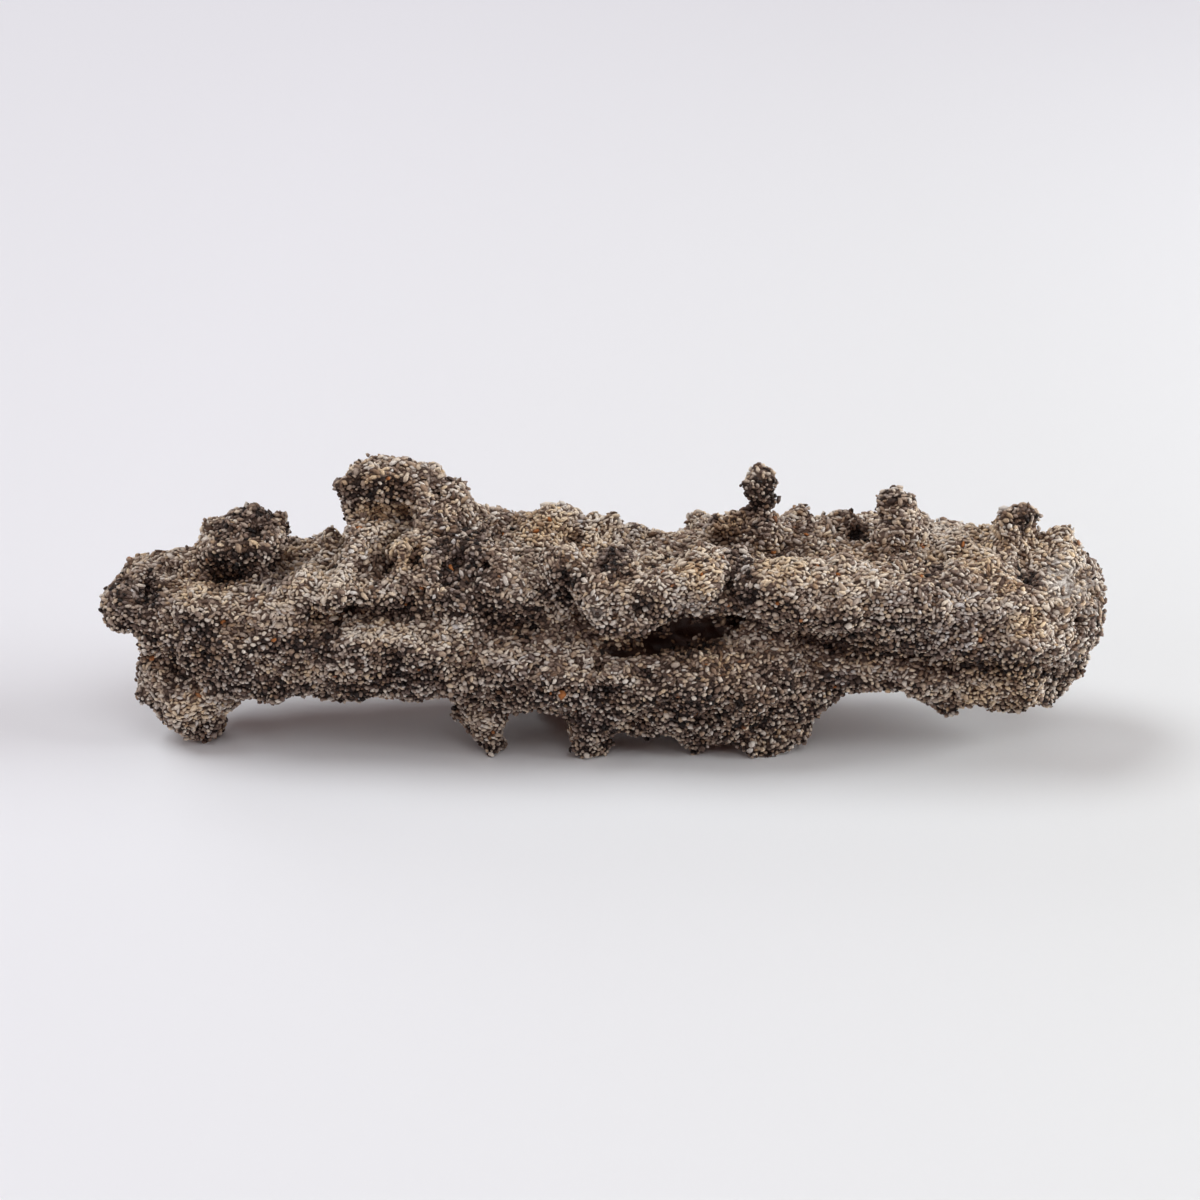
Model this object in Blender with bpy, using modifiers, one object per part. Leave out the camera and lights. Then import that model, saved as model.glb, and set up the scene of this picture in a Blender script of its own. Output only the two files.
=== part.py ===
"""Fulgurite: one short length of sand fused by lightning, lying on its own nubs.

The body is grown from round lumps of melt placed in millimetres: long lobes that run
end to end, knobs and drips that stand on them, and hollows cut into them. The lumps
are fused to one skin, roughened, thinned to flat facets and cut level where it rests.
X runs along the length, -Y is the front, Z is up and the floor is Z = 0.
"""
import math
import random

import bmesh
import bpy
import numpy as np
from mathutils import Vector, noise

MM = 0.001

# Driving dimensions, millimetres
LENGTH = 52.0
FLOOR = 0.0
FACETS = 9400
STATION_GAP = 0.3
FUSE_VOXEL = 0.32
CUTTER_VOXEL = 0.192
SMOOTH_FACTOR = 0.5
SMOOTH_STEPS = 1
LUMP_RELIEF = 0.42
LUMP_SPAN = 1.7
GRIT_RELIEF = 0.34
GRIT_SPAN = 0.85
GRIT_SHIFT = (7.3, 1.9, 4.1)
SCATTER_LOW = 2.4
SCATTER_HIGH = 10.6
BURIED_SLACK = 0.05
SCATTERED_LUMPS = 330
LUMP_SIZES = (0.36, 0.75)
LUMP_SINK = 0.35
SCATTERED_PITS = 60
PIT_SIZES = (0.3, 0.6)
PIT_SINK = 0.0
SEED = 71

# Long lobes: centre x, y, z and radius at stations from the left end to the right
RIDGE = (
    (-23.4, 0.5, 8.0, 1.8), (-20.9, 1.0, 7.1, 2.7), (-18.3, 1.0, 7.7, 3.0), (-15.3, 1.2, 6.7, 3.1),
    (-12.7, 1.5, 6.9, 3.5), (-9.5, 1.5, 7.3, 3.9), (-6.4, 1.5, 7.5, 4.0), (-2.8, 1.5, 7.3, 4.1),
    (0.4, 1.5, 6.8, 4.2), (3.5, 1.5, 6.4, 4.1), (6.6, 1.5, 7.0, 4.0), (10.2, 1.4, 7.7, 3.8),
    (13.4, 1.4, 7.6, 3.7), (16.5, 1.2, 7.5, 3.75), (19.6, 1.0, 7.4, 3.75), (22.4, 0.8, 7.4, 3.4),
    (23.6, 0.5, 7.4, 2.8),
)
UNDER = (
    (-22.1, -0.4, 3.2, 2.0), (-19.3, -0.5, 4.7, 2.2), (-15.6, -0.8, 5.3, 2.4), (-12.5, -1.0, 5.3, 2.5),
    (-8.9, -1.0, 5.4, 2.5), (-5.3, -1.0, 5.4, 2.6), (-2.2, -1.2, 5.0, 2.8), (0.9, -1.0, 4.1, 2.9),
    (4.5, -0.8, 3.7, 3.0), (8.2, -0.6, 3.6, 2.8), (9.9, -0.5, 3.9, 2.4), (12.7, -0.8, 5.5, 2.1),
    (15.8, -1.0, 5.6, 2.1), (18.9, -1.0, 4.8, 2.2), (21.8, -0.8, 4.7, 2.1), (23.5, -0.5, 4.7, 1.5),
)
FRONT_ROLL = (
    (6.8, -3.0, 9.7, 1.4), (9.3, -3.1, 9.7, 1.7), (12.3, -3.1, 9.4, 1.8), (15.3, -3.0, 9.2, 1.85),
    (18.4, -2.6, 9.0, 1.85), (21.3, -2.1, 8.6, 1.85), (23.3, -1.5, 8.0, 1.75),
)
RIGHT_LEDGE = (
    (13.5, -3.0, 7.6, 0.9), (16.0, -3.2, 7.2, 1.1), (18.2, -3.4, 6.9, 1.2), (20.6, -3.3, 6.8, 1.3),
    (22.4, -3.0, 6.7, 1.3), (23.8, -2.3, 6.5, 1.1),
)
LOWER_LEDGE = (
    (11.7, -2.2, 5.2, 0.9), (13.8, -2.3, 5.0, 0.9), (16.3, -2.3, 4.6, 0.9), (18.4, -2.3, 4.1, 0.9),
    (21.0, -2.1, 3.9, 0.95), (23.0, -1.8, 4.0, 0.9),
)
LEFT_LEDGE = (
    (-23.1, -1.6, 6.3, 0.8), (-20.9, -2.2, 6.9, 0.8), (-18.9, -2.6, 6.8, 0.9), (-16.3, -2.6, 6.8, 1.0),
    (-13.3, -2.9, 6.6, 1.1), (-10.7, -3.1, 6.7, 1.2), (-8.2, -3.1, 7.0, 1.1), (-6.5, -2.8, 7.3, 0.9),
)
BACK_SHOULDER = (
    (-21.6, 1.8, 7.7, 1.2), (-18.4, 2.6, 8.2, 1.4), (-14.8, 3.4, 8.1, 1.5), (-11.0, 4.0, 8.6, 1.6),
    (-7.2, 4.0, 8.9, 1.6), (-3.2, 4.1, 8.4, 1.7), (0.8, 4.2, 7.9, 1.6), (4.6, 4.0, 8.2, 1.7),
    (8.6, 3.8, 8.9, 1.6), (12.6, 3.6, 9.2, 1.5), (16.6, 3.4, 8.7, 1.5), (20.2, 3.0, 8.6, 1.5),
    (22.8, 2.0, 8.4, 1.4),
)
BACK_ROLL = (
    (-20.5, 2.4, 5.4, 1.2), (-16.8, 3.1, 5.0, 1.4), (-13.0, 3.6, 5.4, 1.5), (-9.2, 3.9, 4.9, 1.6),
    (-5.0, 3.9, 4.4, 1.7), (-0.6, 4.0, 4.6, 1.7), (3.8, 4.0, 4.3, 1.8), (8.2, 3.8, 4.7, 1.6),
    (12.4, 3.5, 5.6, 1.5), (16.4, 3.2, 5.3, 1.5), (20.4, 2.8, 5.4, 1.4), (23.0, 2.0, 5.6, 1.3),
)

# Lumps that stand on the lobes
HEAD = (
    (-24.1, -0.6, 8.1, 1.55), (-24.8, -0.9, 7.5, 0.85), (-23.2, 0.0, 9.0, 1.3), (-22.1, 0.3, 9.3, 1.0),
    (-21.2, 0.6, 9.3, 0.9), (-22.2, -1.6, 7.9, 1.0), (-20.4, -2.2, 8.2, 1.2),
)
HUMP = (
    (-18.6, 0.0, 10.0, 2.0), (-19.9, 0.6, 11.0, 0.7), (-19.3, 0.8, 11.4, 0.8), (-17.9, 0.4, 12.2, 0.85),
    (-17.1, 0.3, 12.1, 0.75), (-16.6, 0.2, 11.9, 0.7), (-16.8, -0.8, 11.1, 1.1), (-15.9, 0.8, 11.2, 0.5),
    (-19.5, -0.5, 10.8, 0.8), (-18.4, -0.3, 11.6, 0.9),
)
CROWN = (
    (-11.6, 0.6, 12.0, 1.5), (-12.4, 0.4, 14.3, 0.95), (-13.0, 0.3, 13.8, 0.5), (-11.1, 0.5, 14.4, 1.0),
    (-9.8, 0.7, 14.4, 1.0), (-8.9, 0.7, 14.2, 0.95), (-7.9, 0.5, 13.5, 0.95), (-7.1, 0.5, 13.0, 0.8),
    (-8.2, 0.0, 12.3, 1.5), (-10.3, 1.6, 12.9, 1.45), (-13.9, 1.0, 11.0, 0.5), (-11.2, 2.4, 11.4, 1.3),
    (-8.8, 2.4, 11.6, 1.2), (-6.6, 0.6, 12.3, 0.8), (-12.6, 0.9, 12.9, 0.9),
)
TOP_BUMPS = (
    (-5.4, 1.4, 11.5, 0.87), (-4.2, 1.4, 11.6, 0.62), (-2.8, 1.2, 11.5, 1.0), (-1.7, 1.2, 11.6, 0.75),
    (-0.8, 1.0, 11.5, 0.55), (0.5, 1.2, 11.5, 0.75), (2.0, 1.4, 11.2, 0.6), (5.6, 0.6, 11.6, 0.75),
    (6.3, 0.9, 11.5, 0.65), (7.0, 1.1, 11.6, 0.72), (10.2, 1.2, 12.0, 0.6), (12.2, 1.0, 11.9, 0.61),
    (12.8, 1.3, 11.8, 0.51), (16.5, 1.0, 11.4, 0.6), (18.5, 0.8, 11.1, 0.72), (17.6, 1.2, 11.2, 0.6),
    (22.4, 0.6, 10.8, 0.7),
)
STALK = (
    (8.2, 0.5, 11.5, 1.05), (8.1, 0.5, 12.3, 0.85), (8.0, 0.5, 13.0, 0.8), (7.9, 0.5, 13.6, 0.75),
    (7.8, 0.5, 14.2, 0.82), (7.3, 0.4, 14.2, 0.52), (8.0, 0.6, 14.5, 0.6),
)
CAP = (
    (15.0, 0.7, 12.7, 0.95), (14.2, 0.6, 12.6, 0.6), (15.6, 0.8, 12.5, 0.55), (14.9, 0.2, 11.5, 1.1),
)
END_KNOB = (
    (21.0, 0.4, 11.9, 1.0), (20.3, 0.4, 12.2, 0.62), (21.6, 0.6, 11.9, 0.62), (20.9, 0.3, 10.9, 1.0),
)
BROKEN_END = (
    (23.2, 0.6, 10.6, 0.8), (23.7, 0.6, 10.4, 0.7), (23.5, -0.2, 9.4, 1.4), (24.2, -0.6, 8.6, 1.2),
    (23.9, -1.0, 7.4, 1.3), (24.1, -1.4, 5.5, 0.65), (24.2, -1.6, 5.1, 0.42), (24.0, 1.6, 8.7, 1.2),
    (24.1, 2.0, 7.2, 1.1), (23.7, 1.2, 5.4, 1.1),
)
HEELS = (
    (23.0, -0.6, 3.1, 0.85), (21.6, -0.8, 2.8, 0.9), (20.0, -1.0, 2.6, 0.75), (17.9, -1.2, 2.6, 0.8),
    (16.7, -1.0, 3.2, 0.7), (14.7, -1.4, 4.0, 0.6), (12.4, -1.2, 3.9, 0.5),
)
BROW = (
    (-0.6, -3.4, 9.9, 1.25), (1.3, -3.5, 10.0, 1.25), (3.3, -3.5, 10.1, 1.25), (5.4, -3.3, 10.1, 1.25),
    (0.2, -3.4, 8.5, 0.95), (1.5, -3.5, 8.4, 0.85), (2.9, -3.5, 8.8, 0.8), (4.3, -3.5, 9.1, 0.75),
    (0.8, -2.4, 11.0, 1.0), (4.8, -2.2, 11.0, 0.9), (6.6, -1.6, 11.3, 0.75),
)
FRONT_LUMPS = (
    (-18.3, -2.4, 8.2, 1.1), (-16.3, -2.4, 8.6, 1.2), (-14.7, -2.2, 9.3, 1.3), (-13.2, -2.5, 9.4, 1.1),
    (-11.2, -2.7, 9.4, 1.0), (-8.9, -2.7, 9.5, 1.1), (-8.1, -2.2, 10.9, 1.0), (-9.9, -1.8, 11.2, 0.9),
    (-12.4, -1.6, 11.1, 1.0), (-6.6, -1.9, 11.3, 1.1), (-5.1, -2.5, 10.3, 1.2), (-6.7, -2.8, 9.3, 1.1),
    (-4.2, -2.8, 9.1, 1.0), (-2.1, -2.5, 10.7, 1.2), (-4.2, -3.1, 5.9, 1.2), (-6.3, -2.8, 4.9, 1.0),
    (-2.2, -3.1, 5.4, 1.1), (-15.6, -2.4, 7.7, 1.0), (-17.4, -2.4, 7.5, 0.95), (-19.5, -2.2, 7.5, 0.95),
)
BELLY = (
    (-0.1, -3.1, 4.4, 1.2), (2.4, -3.4, 4.6, 1.3), (4.9, -3.4, 4.6, 1.4), (7.5, -3.1, 4.4, 1.4),
    (9.6, -2.4, 4.4, 1.2), (6.9, -3.0, 6.1, 1.0), (9.5, -2.6, 5.9, 0.9), (0.8, -3.3, 5.5, 0.9),
    (2.6, -3.4, 5.7, 0.9), (4.6, -3.4, 5.9, 0.9), (8.4, -3.0, 6.6, 0.9),
)
BACK_LUMPS = (
    (-23.6, 1.5, 7.0, 1.1), (-21.6, 2.1, 4.0, 1.2), (-18.8, 3.0, 9.3, 1.0), (-15.2, 3.9, 9.4, 1.1),
    (-11.4, 4.6, 9.9, 1.0), (-13.4, 4.6, 7.6, 0.9), (-7.0, 5.0, 9.6, 1.1), (-6.6, 5.0, 4.2, 1.0),
    (-2.6, 5.0, 8.9, 1.1), (-9.4, 5.1, 5.0, 1.0), (1.6, 5.2, 8.4, 1.0), (5.6, 4.6, 9.6, 1.2),
    (3.2, 5.1, 4.9, 1.0), (7.4, 4.9, 8.2, 0.9), (10.2, 4.9, 9.9, 1.0), (14.2, 4.4, 10.0, 1.0),
    (12.6, 4.6, 5.2, 0.9), (18.2, 4.3, 9.4, 1.0), (17.6, 4.2, 4.9, 1.0), (21.8, 3.6, 8.9, 1.0),
    (15.0, 2.9, 4.0, 1.0), (19.4, 2.6, 4.0, 1.0), (-13.8, 3.0, 4.0, 1.0), (-10.2, 3.4, 3.7, 1.0),
    (-2.4, 3.6, 3.0, 1.2), (1.0, 3.4, 2.8, 1.3), (7.6, 3.2, 3.2, 1.3),
)

# What it stands on: every one of these reaches the floor or just misses it
LEFT_FOOT = (
    (-22.7, -0.8, 3.0, 1.35), (-21.7, -0.9, 2.3, 1.7), (-21.1, -0.3, 0.9, 1.35), (-20.4, -0.5, 2.1, 1.3),
    (-20.7, -0.2, 0.2, 0.7), (-23.1, -0.6, 4.4, 1.1), (-19.1, -0.3, 2.4, 0.65),
)
HANGING_PEG = (
    (-6.0, -1.8, 1.5, 1.15), (-5.7, -1.8, 0.4, 0.95), (-6.4, -1.6, 2.5, 1.05), (-7.6, -1.2, 1.6, 0.5),
    (-6.4, -1.3, 3.6, 1.2),
)
MIDDLE_FEET = (
    (-0.5, -2.1, 1.4, 1.25), (-0.4, -1.9, 0.5, 0.95), (-1.4, -1.8, 2.2, 0.75), (1.9, -2.0, 1.8, 0.85),
    (2.7, -2.2, 1.5, 0.7), (4.2, -2.0, 1.7, 0.8), (5.0, -2.2, 0.6, 0.75), (6.9, -1.8, 1.3, 1.04),
    (8.2, -1.9, 0.7, 1.2), (10.0, -1.6, 0.9, 0.8), (10.3, -1.0, 1.8, 0.85), (11.5, -0.8, 2.8, 0.5),
    (10.2, -0.8, 2.8, 0.85), (6.0, -1.9, 2.2, 1.1), (8.6, -1.9, 2.4, 1.1),
)
BACK_FEET = (
    (3.6, 3.1, 0.7, 1.3), (4.6, 3.3, 1.6, 1.2), (4.1, 3.2, 2.6, 1.5), (-3.4, 3.0, 0.9, 0.9),
    (-3.0, 2.9, 2.0, 1.1), (9.2, 2.4, 1.6, 0.8), (9.0, 2.4, 2.6, 1.0),
)
DRIPS = (
    (-4.3, -1.4, 2.9, 0.55), (-2.5, -1.4, 3.0, 0.5), (-17.2, 0.2, 2.4, 0.5), (-13.2, 0.0, 2.6, 0.55),
    (-10.4, 0.4, 2.7, 0.5), (-15.4, 0.9, 3.0, 0.5),
)

# Hollows: centre x, y, z and half-widths along x, y, z
SLOT = (
    (0.9, -4.2, 6.9, 1.2, 2.6, 0.5), (2.6, -4.2, 7.1, 1.4, 2.8, 0.56), (4.4, -4.2, 7.5, 1.4, 2.8, 0.56),
    (6.1, -4.0, 7.9, 1.2, 2.4, 0.56), (7.2, -3.6, 8.0, 0.8, 2.0, 0.5),
)
CROWN_MOUTH = (
    (-11.5, -0.2, 12.9, 1.3, 1.1, 0.5), (-10.0, -0.1, 12.9, 1.0, 1.1, 0.5),
)
FRONT_HOLLOWS = (
    (-19.2, -1.5, 9.7, 1.0, 1.4, 0.9), (-17.7, -1.9, 9.8, 0.5, 0.9, 0.7), (-16.4, -1.3, 10.3, 0.6, 0.9, 0.5),
    (-17.6, -1.2, 11.9, 0.6, 0.7, 0.42), (-22.8, -1.6, 8.9, 0.4, 0.9, 0.9), (-10.9, -2.4, 10.6, 0.85, 1.2, 0.6),
    (-9.6, -2.9, 10.8, 0.55, 1.0, 0.6), (-12.7, -3.1, 8.8, 0.6, 0.9, 0.45), (-11.7, -2.9, 8.2, 0.5, 0.8, 0.4),
    (-10.2, -2.8, 8.4, 0.9, 0.8, 0.4), (-8.6, -3.2, 8.4, 0.8, 0.8, 0.4), (-6.6, -3.3, 10.4, 0.6, 0.8, 0.7),
    (-1.9, -3.2, 9.6, 0.6, 1.1, 0.9), (-4.2, -3.5, 8.1, 1.3, 1.1, 0.55), (-6.1, -3.6, 7.2, 0.9, 0.9, 0.42),
    (6.7, -3.9, 10.4, 0.45, 1.5, 1.5), (7.1, 0.0, 11.5, 0.5, 0.7, 0.45), (13.1, 0.5, 11.2, 0.75, 0.6, 0.5),
    (14.6, -0.9, 10.9, 0.8, 0.8, 0.35), (21.4, -2.4, 10.3, 0.9, 1.0, 0.5), (-22.2, -2.0, 5.2, 0.7, 0.9, 0.5),
    (-20.1, -3.3, 6.1, 0.7, 0.9, 0.42), (-22.1, -2.1, 3.8, 0.5, 0.7, 0.45), (0.2, -4.0, 4.2, 0.7, 0.7, 0.55),
    (18.7, -1.4, 2.0, 0.3, 1.4, 0.35), (20.8, -1.2, 2.0, 0.3, 1.4, 0.35),
)
LOWER_CREASE = (
    (9.9, -3.0, 7.1, 1.3, 1.0, 0.4), (12.5, -3.0, 6.6, 1.4, 1.1, 0.42), (14.8, -3.4, 6.2, 1.5, 1.3, 0.42),
    (17.2, -3.3, 5.7, 1.5, 1.3, 0.42), (20.0, -3.4, 5.4, 1.6, 1.4, 0.4), (22.7, -2.9, 5.1, 1.3, 1.2, 0.38),
)
BACK_HOLLOWS = (
    (-17.4, 4.3, 6.6, 1.4, 0.9, 0.45), (-14.2, 4.9, 6.7, 1.2, 0.8, 0.4), (-10.4, 5.4, 6.7, 1.5, 0.9, 0.5),
    (-6.8, 5.4, 6.8, 1.4, 0.9, 0.5), (-3.2, 5.6, 6.4, 1.3, 0.9, 0.5), (3.4, 5.7, 6.3, 1.8, 1.3, 0.55),
    (6.8, 5.4, 6.6, 1.5, 1.1, 0.5), (10.8, 5.2, 7.3, 1.3, 0.9, 0.45), (15.0, 4.9, 7.1, 1.5, 1.0, 0.5),
    (18.8, 4.4, 7.0, 1.3, 0.9, 0.45), (-9.2, 5.4, 8.4, 0.6, 0.8, 0.6), (-0.6, 5.6, 7.4, 0.7, 0.9, 0.6),
    (12.6, 5.2, 8.4, 0.6, 0.8, 0.5), (-4.8, 5.0, 9.9, 0.7, 0.9, 0.6), (3.4, 5.2, 9.4, 0.7, 0.9, 0.6),
    (0.6, 5.2, 4.2, 0.7, 0.8, 0.6), (9.6, 5.0, 5.0, 0.8, 0.9, 0.6),
)
LUMEN = (
    (26.0, 0.3, 7.3, 1.2, 1.3, 1.5), (24.6, 0.2, 7.2, 1.2, 1.15, 1.4), (23.2, 0.2, 7.3, 1.1, 1.0, 1.2),
    (22.0, 0.3, 7.4, 0.8, 0.7, 0.8),
)

LOBES = (RIDGE, UNDER, FRONT_ROLL, RIGHT_LEDGE, LOWER_LEDGE, LEFT_LEDGE, BACK_SHOULDER, BACK_ROLL)
LUMPS = (HEAD + HUMP + CROWN + TOP_BUMPS + STALK + CAP + END_KNOB + BROKEN_END + HEELS + BROW
         + FRONT_LUMPS + BELLY + BACK_LUMPS + LEFT_FOOT + HANGING_PEG + MIDDLE_FEET + BACK_FEET + DRIPS)
HOLLOWS = SLOT + CROWN_MOUTH + FRONT_HOLLOWS + LOWER_CREASE + BACK_HOLLOWS + LUMEN


def clear_scene():
    for old in list(bpy.data.objects):
        bpy.data.objects.remove(old)


def along(stations):
    """Balls that fill in a lobe between its stations."""
    balls = []
    for near, far in zip(stations, stations[1:]):
        gap = math.dist(near[:3], far[:3])
        steps = max(2, math.ceil(gap / (STATION_GAP * min(near[3], far[3]))))
        for step in range(steps):
            part = step / steps
            balls.append(tuple(a + (b - a) * part for a, b in zip(near, far)))
    balls.append(stations[-1])
    return balls


def outermost(point, balls, skip):
    """True when the point is not buried in any ball but the one it was thrown from."""
    for index, (x, y, z, radius) in enumerate(balls):
        if index != skip and math.dist(point, (x, y, z)) < radius - BURIED_SLACK:
            return False
    return True


def scattered(balls, count, sizes, sink, dice):
    """Small balls thrown onto the outside of the big ones, a share of each one sunk in."""
    low, high = sizes
    found = []
    while len(found) < count:
        pick = dice.randrange(len(balls))
        x, y, z, radius = balls[pick]
        heading = Vector((dice.gauss(0, 1), dice.gauss(0, 1), dice.gauss(0, 1))).normalized()
        point = Vector((x, y, z)) + heading * radius
        size = low + (high - low) * dice.random() ** 2
        if not SCATTER_LOW < point.z < SCATTER_HIGH:
            continue
        if not outermost(point, balls, pick):
            continue
        centre = point - heading * size * sink
        found.append((centre.x, centre.y, centre.z, size))
    return found


def ball_object(name, balls):
    """One mesh object holding every ball or ellipsoid of the list."""
    pattern = bmesh.new()
    bmesh.ops.create_icosphere(pattern, subdivisions=3, radius=1.0)
    unit = np.array([tuple(vert.co) for vert in pattern.verts])
    unit_faces = np.array([[vert.index for vert in face.verts] for face in pattern.faces])
    pattern.free()
    verts = []
    faces = []
    for index, ball in enumerate(balls):
        spread = ball[3:] if len(ball) == 6 else (ball[3],) * 3
        verts.append(unit * np.array(spread) + np.array(ball[:3]))
        faces.append(unit_faces + index * len(unit))
    mesh = bpy.data.meshes.new(name)
    mesh.from_pydata(np.concatenate(verts).tolist(), [], np.concatenate(faces).tolist())
    obj = bpy.data.objects.new(name, mesh)
    bpy.context.scene.collection.objects.link(obj)
    return obj


def apply_modifiers(obj):
    """Bake the object's modifiers into its mesh."""
    depsgraph = bpy.context.evaluated_depsgraph_get()
    baked = bpy.data.meshes.new_from_object(obj.evaluated_get(depsgraph))
    obj.modifiers.clear()
    obj.data = baked


def fuse(obj, voxel):
    """Turn overlapping shells to one even skin and soften it."""
    remesh = obj.modifiers.new("Fuse", "REMESH")
    remesh.mode = "VOXEL"
    remesh.voxel_size = voxel
    smooth = obj.modifiers.new("Soften", "SMOOTH")
    smooth.factor = SMOOTH_FACTOR
    smooth.iterations = SMOOTH_STEPS
    apply_modifiers(obj)


def carve(obj, cutter):
    """Cut the cutter out of the object, then discard the cutter."""
    cut = obj.modifiers.new("Carve", "BOOLEAN")
    cut.operation = "DIFFERENCE"
    cut.solver = "EXACT"
    cut.object = cutter
    apply_modifiers(obj)
    bpy.data.objects.remove(cutter)


def roughen(obj):
    """Push the skin in and out along its normals: broad lumps, then grit."""
    mesh = obj.data
    shift = Vector(GRIT_SHIFT)
    moved = []
    for vert in mesh.vertices:
        lump = noise.noise(vert.co / LUMP_SPAN)
        grit = noise.noise(vert.co / GRIT_SPAN + shift)
        moved.append(vert.co + vert.normal * (LUMP_RELIEF * lump + GRIT_RELIEF * grit))
    for vert, place in zip(mesh.vertices, moved):
        vert.co = place


def thin(obj, facets):
    """Collapse edges until about this many triangles are left."""
    mesh = obj.data
    mesh.calc_loop_triangles()
    collapse = obj.modifiers.new("Thin", "DECIMATE")
    collapse.ratio = min(1.0, facets / len(mesh.loop_triangles))
    collapse.use_collapse_triangulate = True
    apply_modifiers(obj)


def largest_piece(bm):
    """Drop every loose crumb but the biggest connected body."""
    groups = []
    left = set(bm.verts)
    while left:
        stack = [left.pop()]
        group = set(stack)
        while stack:
            for edge in stack.pop().link_edges:
                for vert in edge.verts:
                    if vert not in group:
                        group.add(vert)
                        left.discard(vert)
                        stack.append(vert)
        groups.append(group)
    groups.sort(key=len)
    crumbs = [vert for group in groups[:-1] for vert in group]
    bmesh.ops.delete(bm, geom=crumbs, context="VERTS")


def level_feet(bm, height):
    """Slice the feet off flat at this height and close the cuts."""
    everything = bm.verts[:] + bm.edges[:] + bm.faces[:]
    cut = bmesh.ops.bisect_plane(
        bm, geom=everything, plane_co=(0, 0, height), plane_no=(0, 0, 1), clear_inner=True,
    )
    rims = [item for item in cut["geom_cut"] if isinstance(item, bmesh.types.BMEdge)]
    bmesh.ops.holes_fill(bm, edges=rims)
    bmesh.ops.triangulate(bm, faces=bm.faces)


def settle(bm):
    """Centre the body over the origin and scale it from millimetres to metres."""
    spots = np.array([tuple(vert.co) for vert in bm.verts])
    low = spots.min(axis=0)
    high = spots.max(axis=0)
    middle = Vector(((low[0] + high[0]) / 2, (low[1] + high[1]) / 2, low[2]))
    stretch = LENGTH / (high[0] - low[0])
    for vert in bm.verts:
        vert.co = (vert.co - middle) * stretch * MM


def stone_material():
    material = bpy.data.materials.new("fused_sand")
    material.use_nodes = True
    shader = material.node_tree.nodes["Principled BSDF"]
    shader.inputs["Base Color"].default_value = (0.36, 0.32, 0.27, 1.0)
    shader.inputs["Roughness"].default_value = 0.85
    return material


def build():
    clear_scene()
    dice = random.Random(SEED)
    core = [ball for lobe in LOBES for ball in along(lobe)]
    big = core + list(LUMPS)
    small = scattered(big, SCATTERED_LUMPS, LUMP_SIZES, LUMP_SINK, dice)
    pits = scattered(big, SCATTERED_PITS, PIT_SIZES, PIT_SINK, dice)
    obj = ball_object("fulgurite", big + small)
    fuse(obj, FUSE_VOXEL)
    cutter = ball_object("hollows", list(HOLLOWS) + pits)
    fuse(cutter, CUTTER_VOXEL)
    carve(obj, cutter)
    fuse(obj, FUSE_VOXEL)
    roughen(obj)
    fuse(obj, FUSE_VOXEL)
    thin(obj, FACETS)
    bm = bmesh.new()
    bm.from_mesh(obj.data)
    largest_piece(bm)
    level_feet(bm, FLOOR)
    settle(bm)
    bm.to_mesh(obj.data)
    bm.free()
    obj.data.materials.clear()
    obj.data.materials.append(stone_material())
    home = bpy.data.collections.new("fulgurite")
    bpy.context.scene.collection.children.link(home)
    for collection in list(obj.users_collection):
        collection.objects.unlink(obj)
    home.objects.link(obj)


build()
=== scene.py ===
"""Fulgurite: the looks of one short length of sand fused by lightning.

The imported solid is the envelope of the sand's tips. A finer body of dark glass takes its
place a grain's depth inside it, and tens of thousands of grains of sand are set into that
glass one by one. Lengths are millimetres in the part's frame; MM turns them to metres.
Places marked in the view are pixels of the camera's square frame, from its top left corner,
and each one is carried straight back from the camera to the glass behind it.
"""

import math

import bmesh
import bpy
import numpy as np
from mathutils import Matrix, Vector, kdtree, noise
from mathutils.bvhtree import BVHTree


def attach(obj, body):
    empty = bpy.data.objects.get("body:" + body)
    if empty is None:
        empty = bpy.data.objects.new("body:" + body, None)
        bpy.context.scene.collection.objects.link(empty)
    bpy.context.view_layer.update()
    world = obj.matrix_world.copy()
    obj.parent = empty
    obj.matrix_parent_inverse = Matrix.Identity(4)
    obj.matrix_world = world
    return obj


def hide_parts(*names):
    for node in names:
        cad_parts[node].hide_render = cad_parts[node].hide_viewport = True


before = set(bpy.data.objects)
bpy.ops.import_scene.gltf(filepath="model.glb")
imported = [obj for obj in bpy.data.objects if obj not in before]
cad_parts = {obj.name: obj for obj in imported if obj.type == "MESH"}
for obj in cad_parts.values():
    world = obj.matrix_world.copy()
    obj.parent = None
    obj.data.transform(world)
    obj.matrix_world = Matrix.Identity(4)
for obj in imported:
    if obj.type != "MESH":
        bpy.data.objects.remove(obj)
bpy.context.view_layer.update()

MM = 0.001
NODE = "fulgurite"
SEED = 4127

# A Mix node's sockets for colours
MIX_FACTOR = 0
MIX_COLOURS = (6, 7)
MIX_RESULT = 2

# Camera, in degrees and millimetres
FRAME_PIXELS = 1200
CAMERA_ELEVATION = 24.0
CAMERA_DISTANCE = 120.5
CAMERA_TARGET = (-0.27, -0.60, 7.84)
LENS = 70.0
SENSOR = 36.0
NEAR_CLIP = 1.0
FAR_CLIP = 5000.0

# Light: each lamp's bearing clockwise from behind and height in degrees, its distance in
# millimetres, its width seen from the part in degrees and its share of the light on the floor
FLOOR_LIGHT = 1.17
LAMPS = (
    ("left_high", 280.0, 58.0, 2000.0, 32.0, 0.37),
    ("left_low", 240.0, 22.0, 2000.0, 30.0, 0.03),
    ("right_low", 95.0, 20.0, 320.0, 30.0, 0.26),
    ("front", 155.0, 52.0, 2000.0, 30.0, 0.10),
    ("back", 325.0, 28.0, 2000.0, 30.0, 0.06),
    ("top", 180.0, 70.0, 2000.0, 40.0, 0.08),
)
LAMP_COLOUR = (0.93, 1.0, 1.03)
FILL_SHARE = 0.10
FILL_COLOUR = (1.0, 0.46, 0.4)

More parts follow.
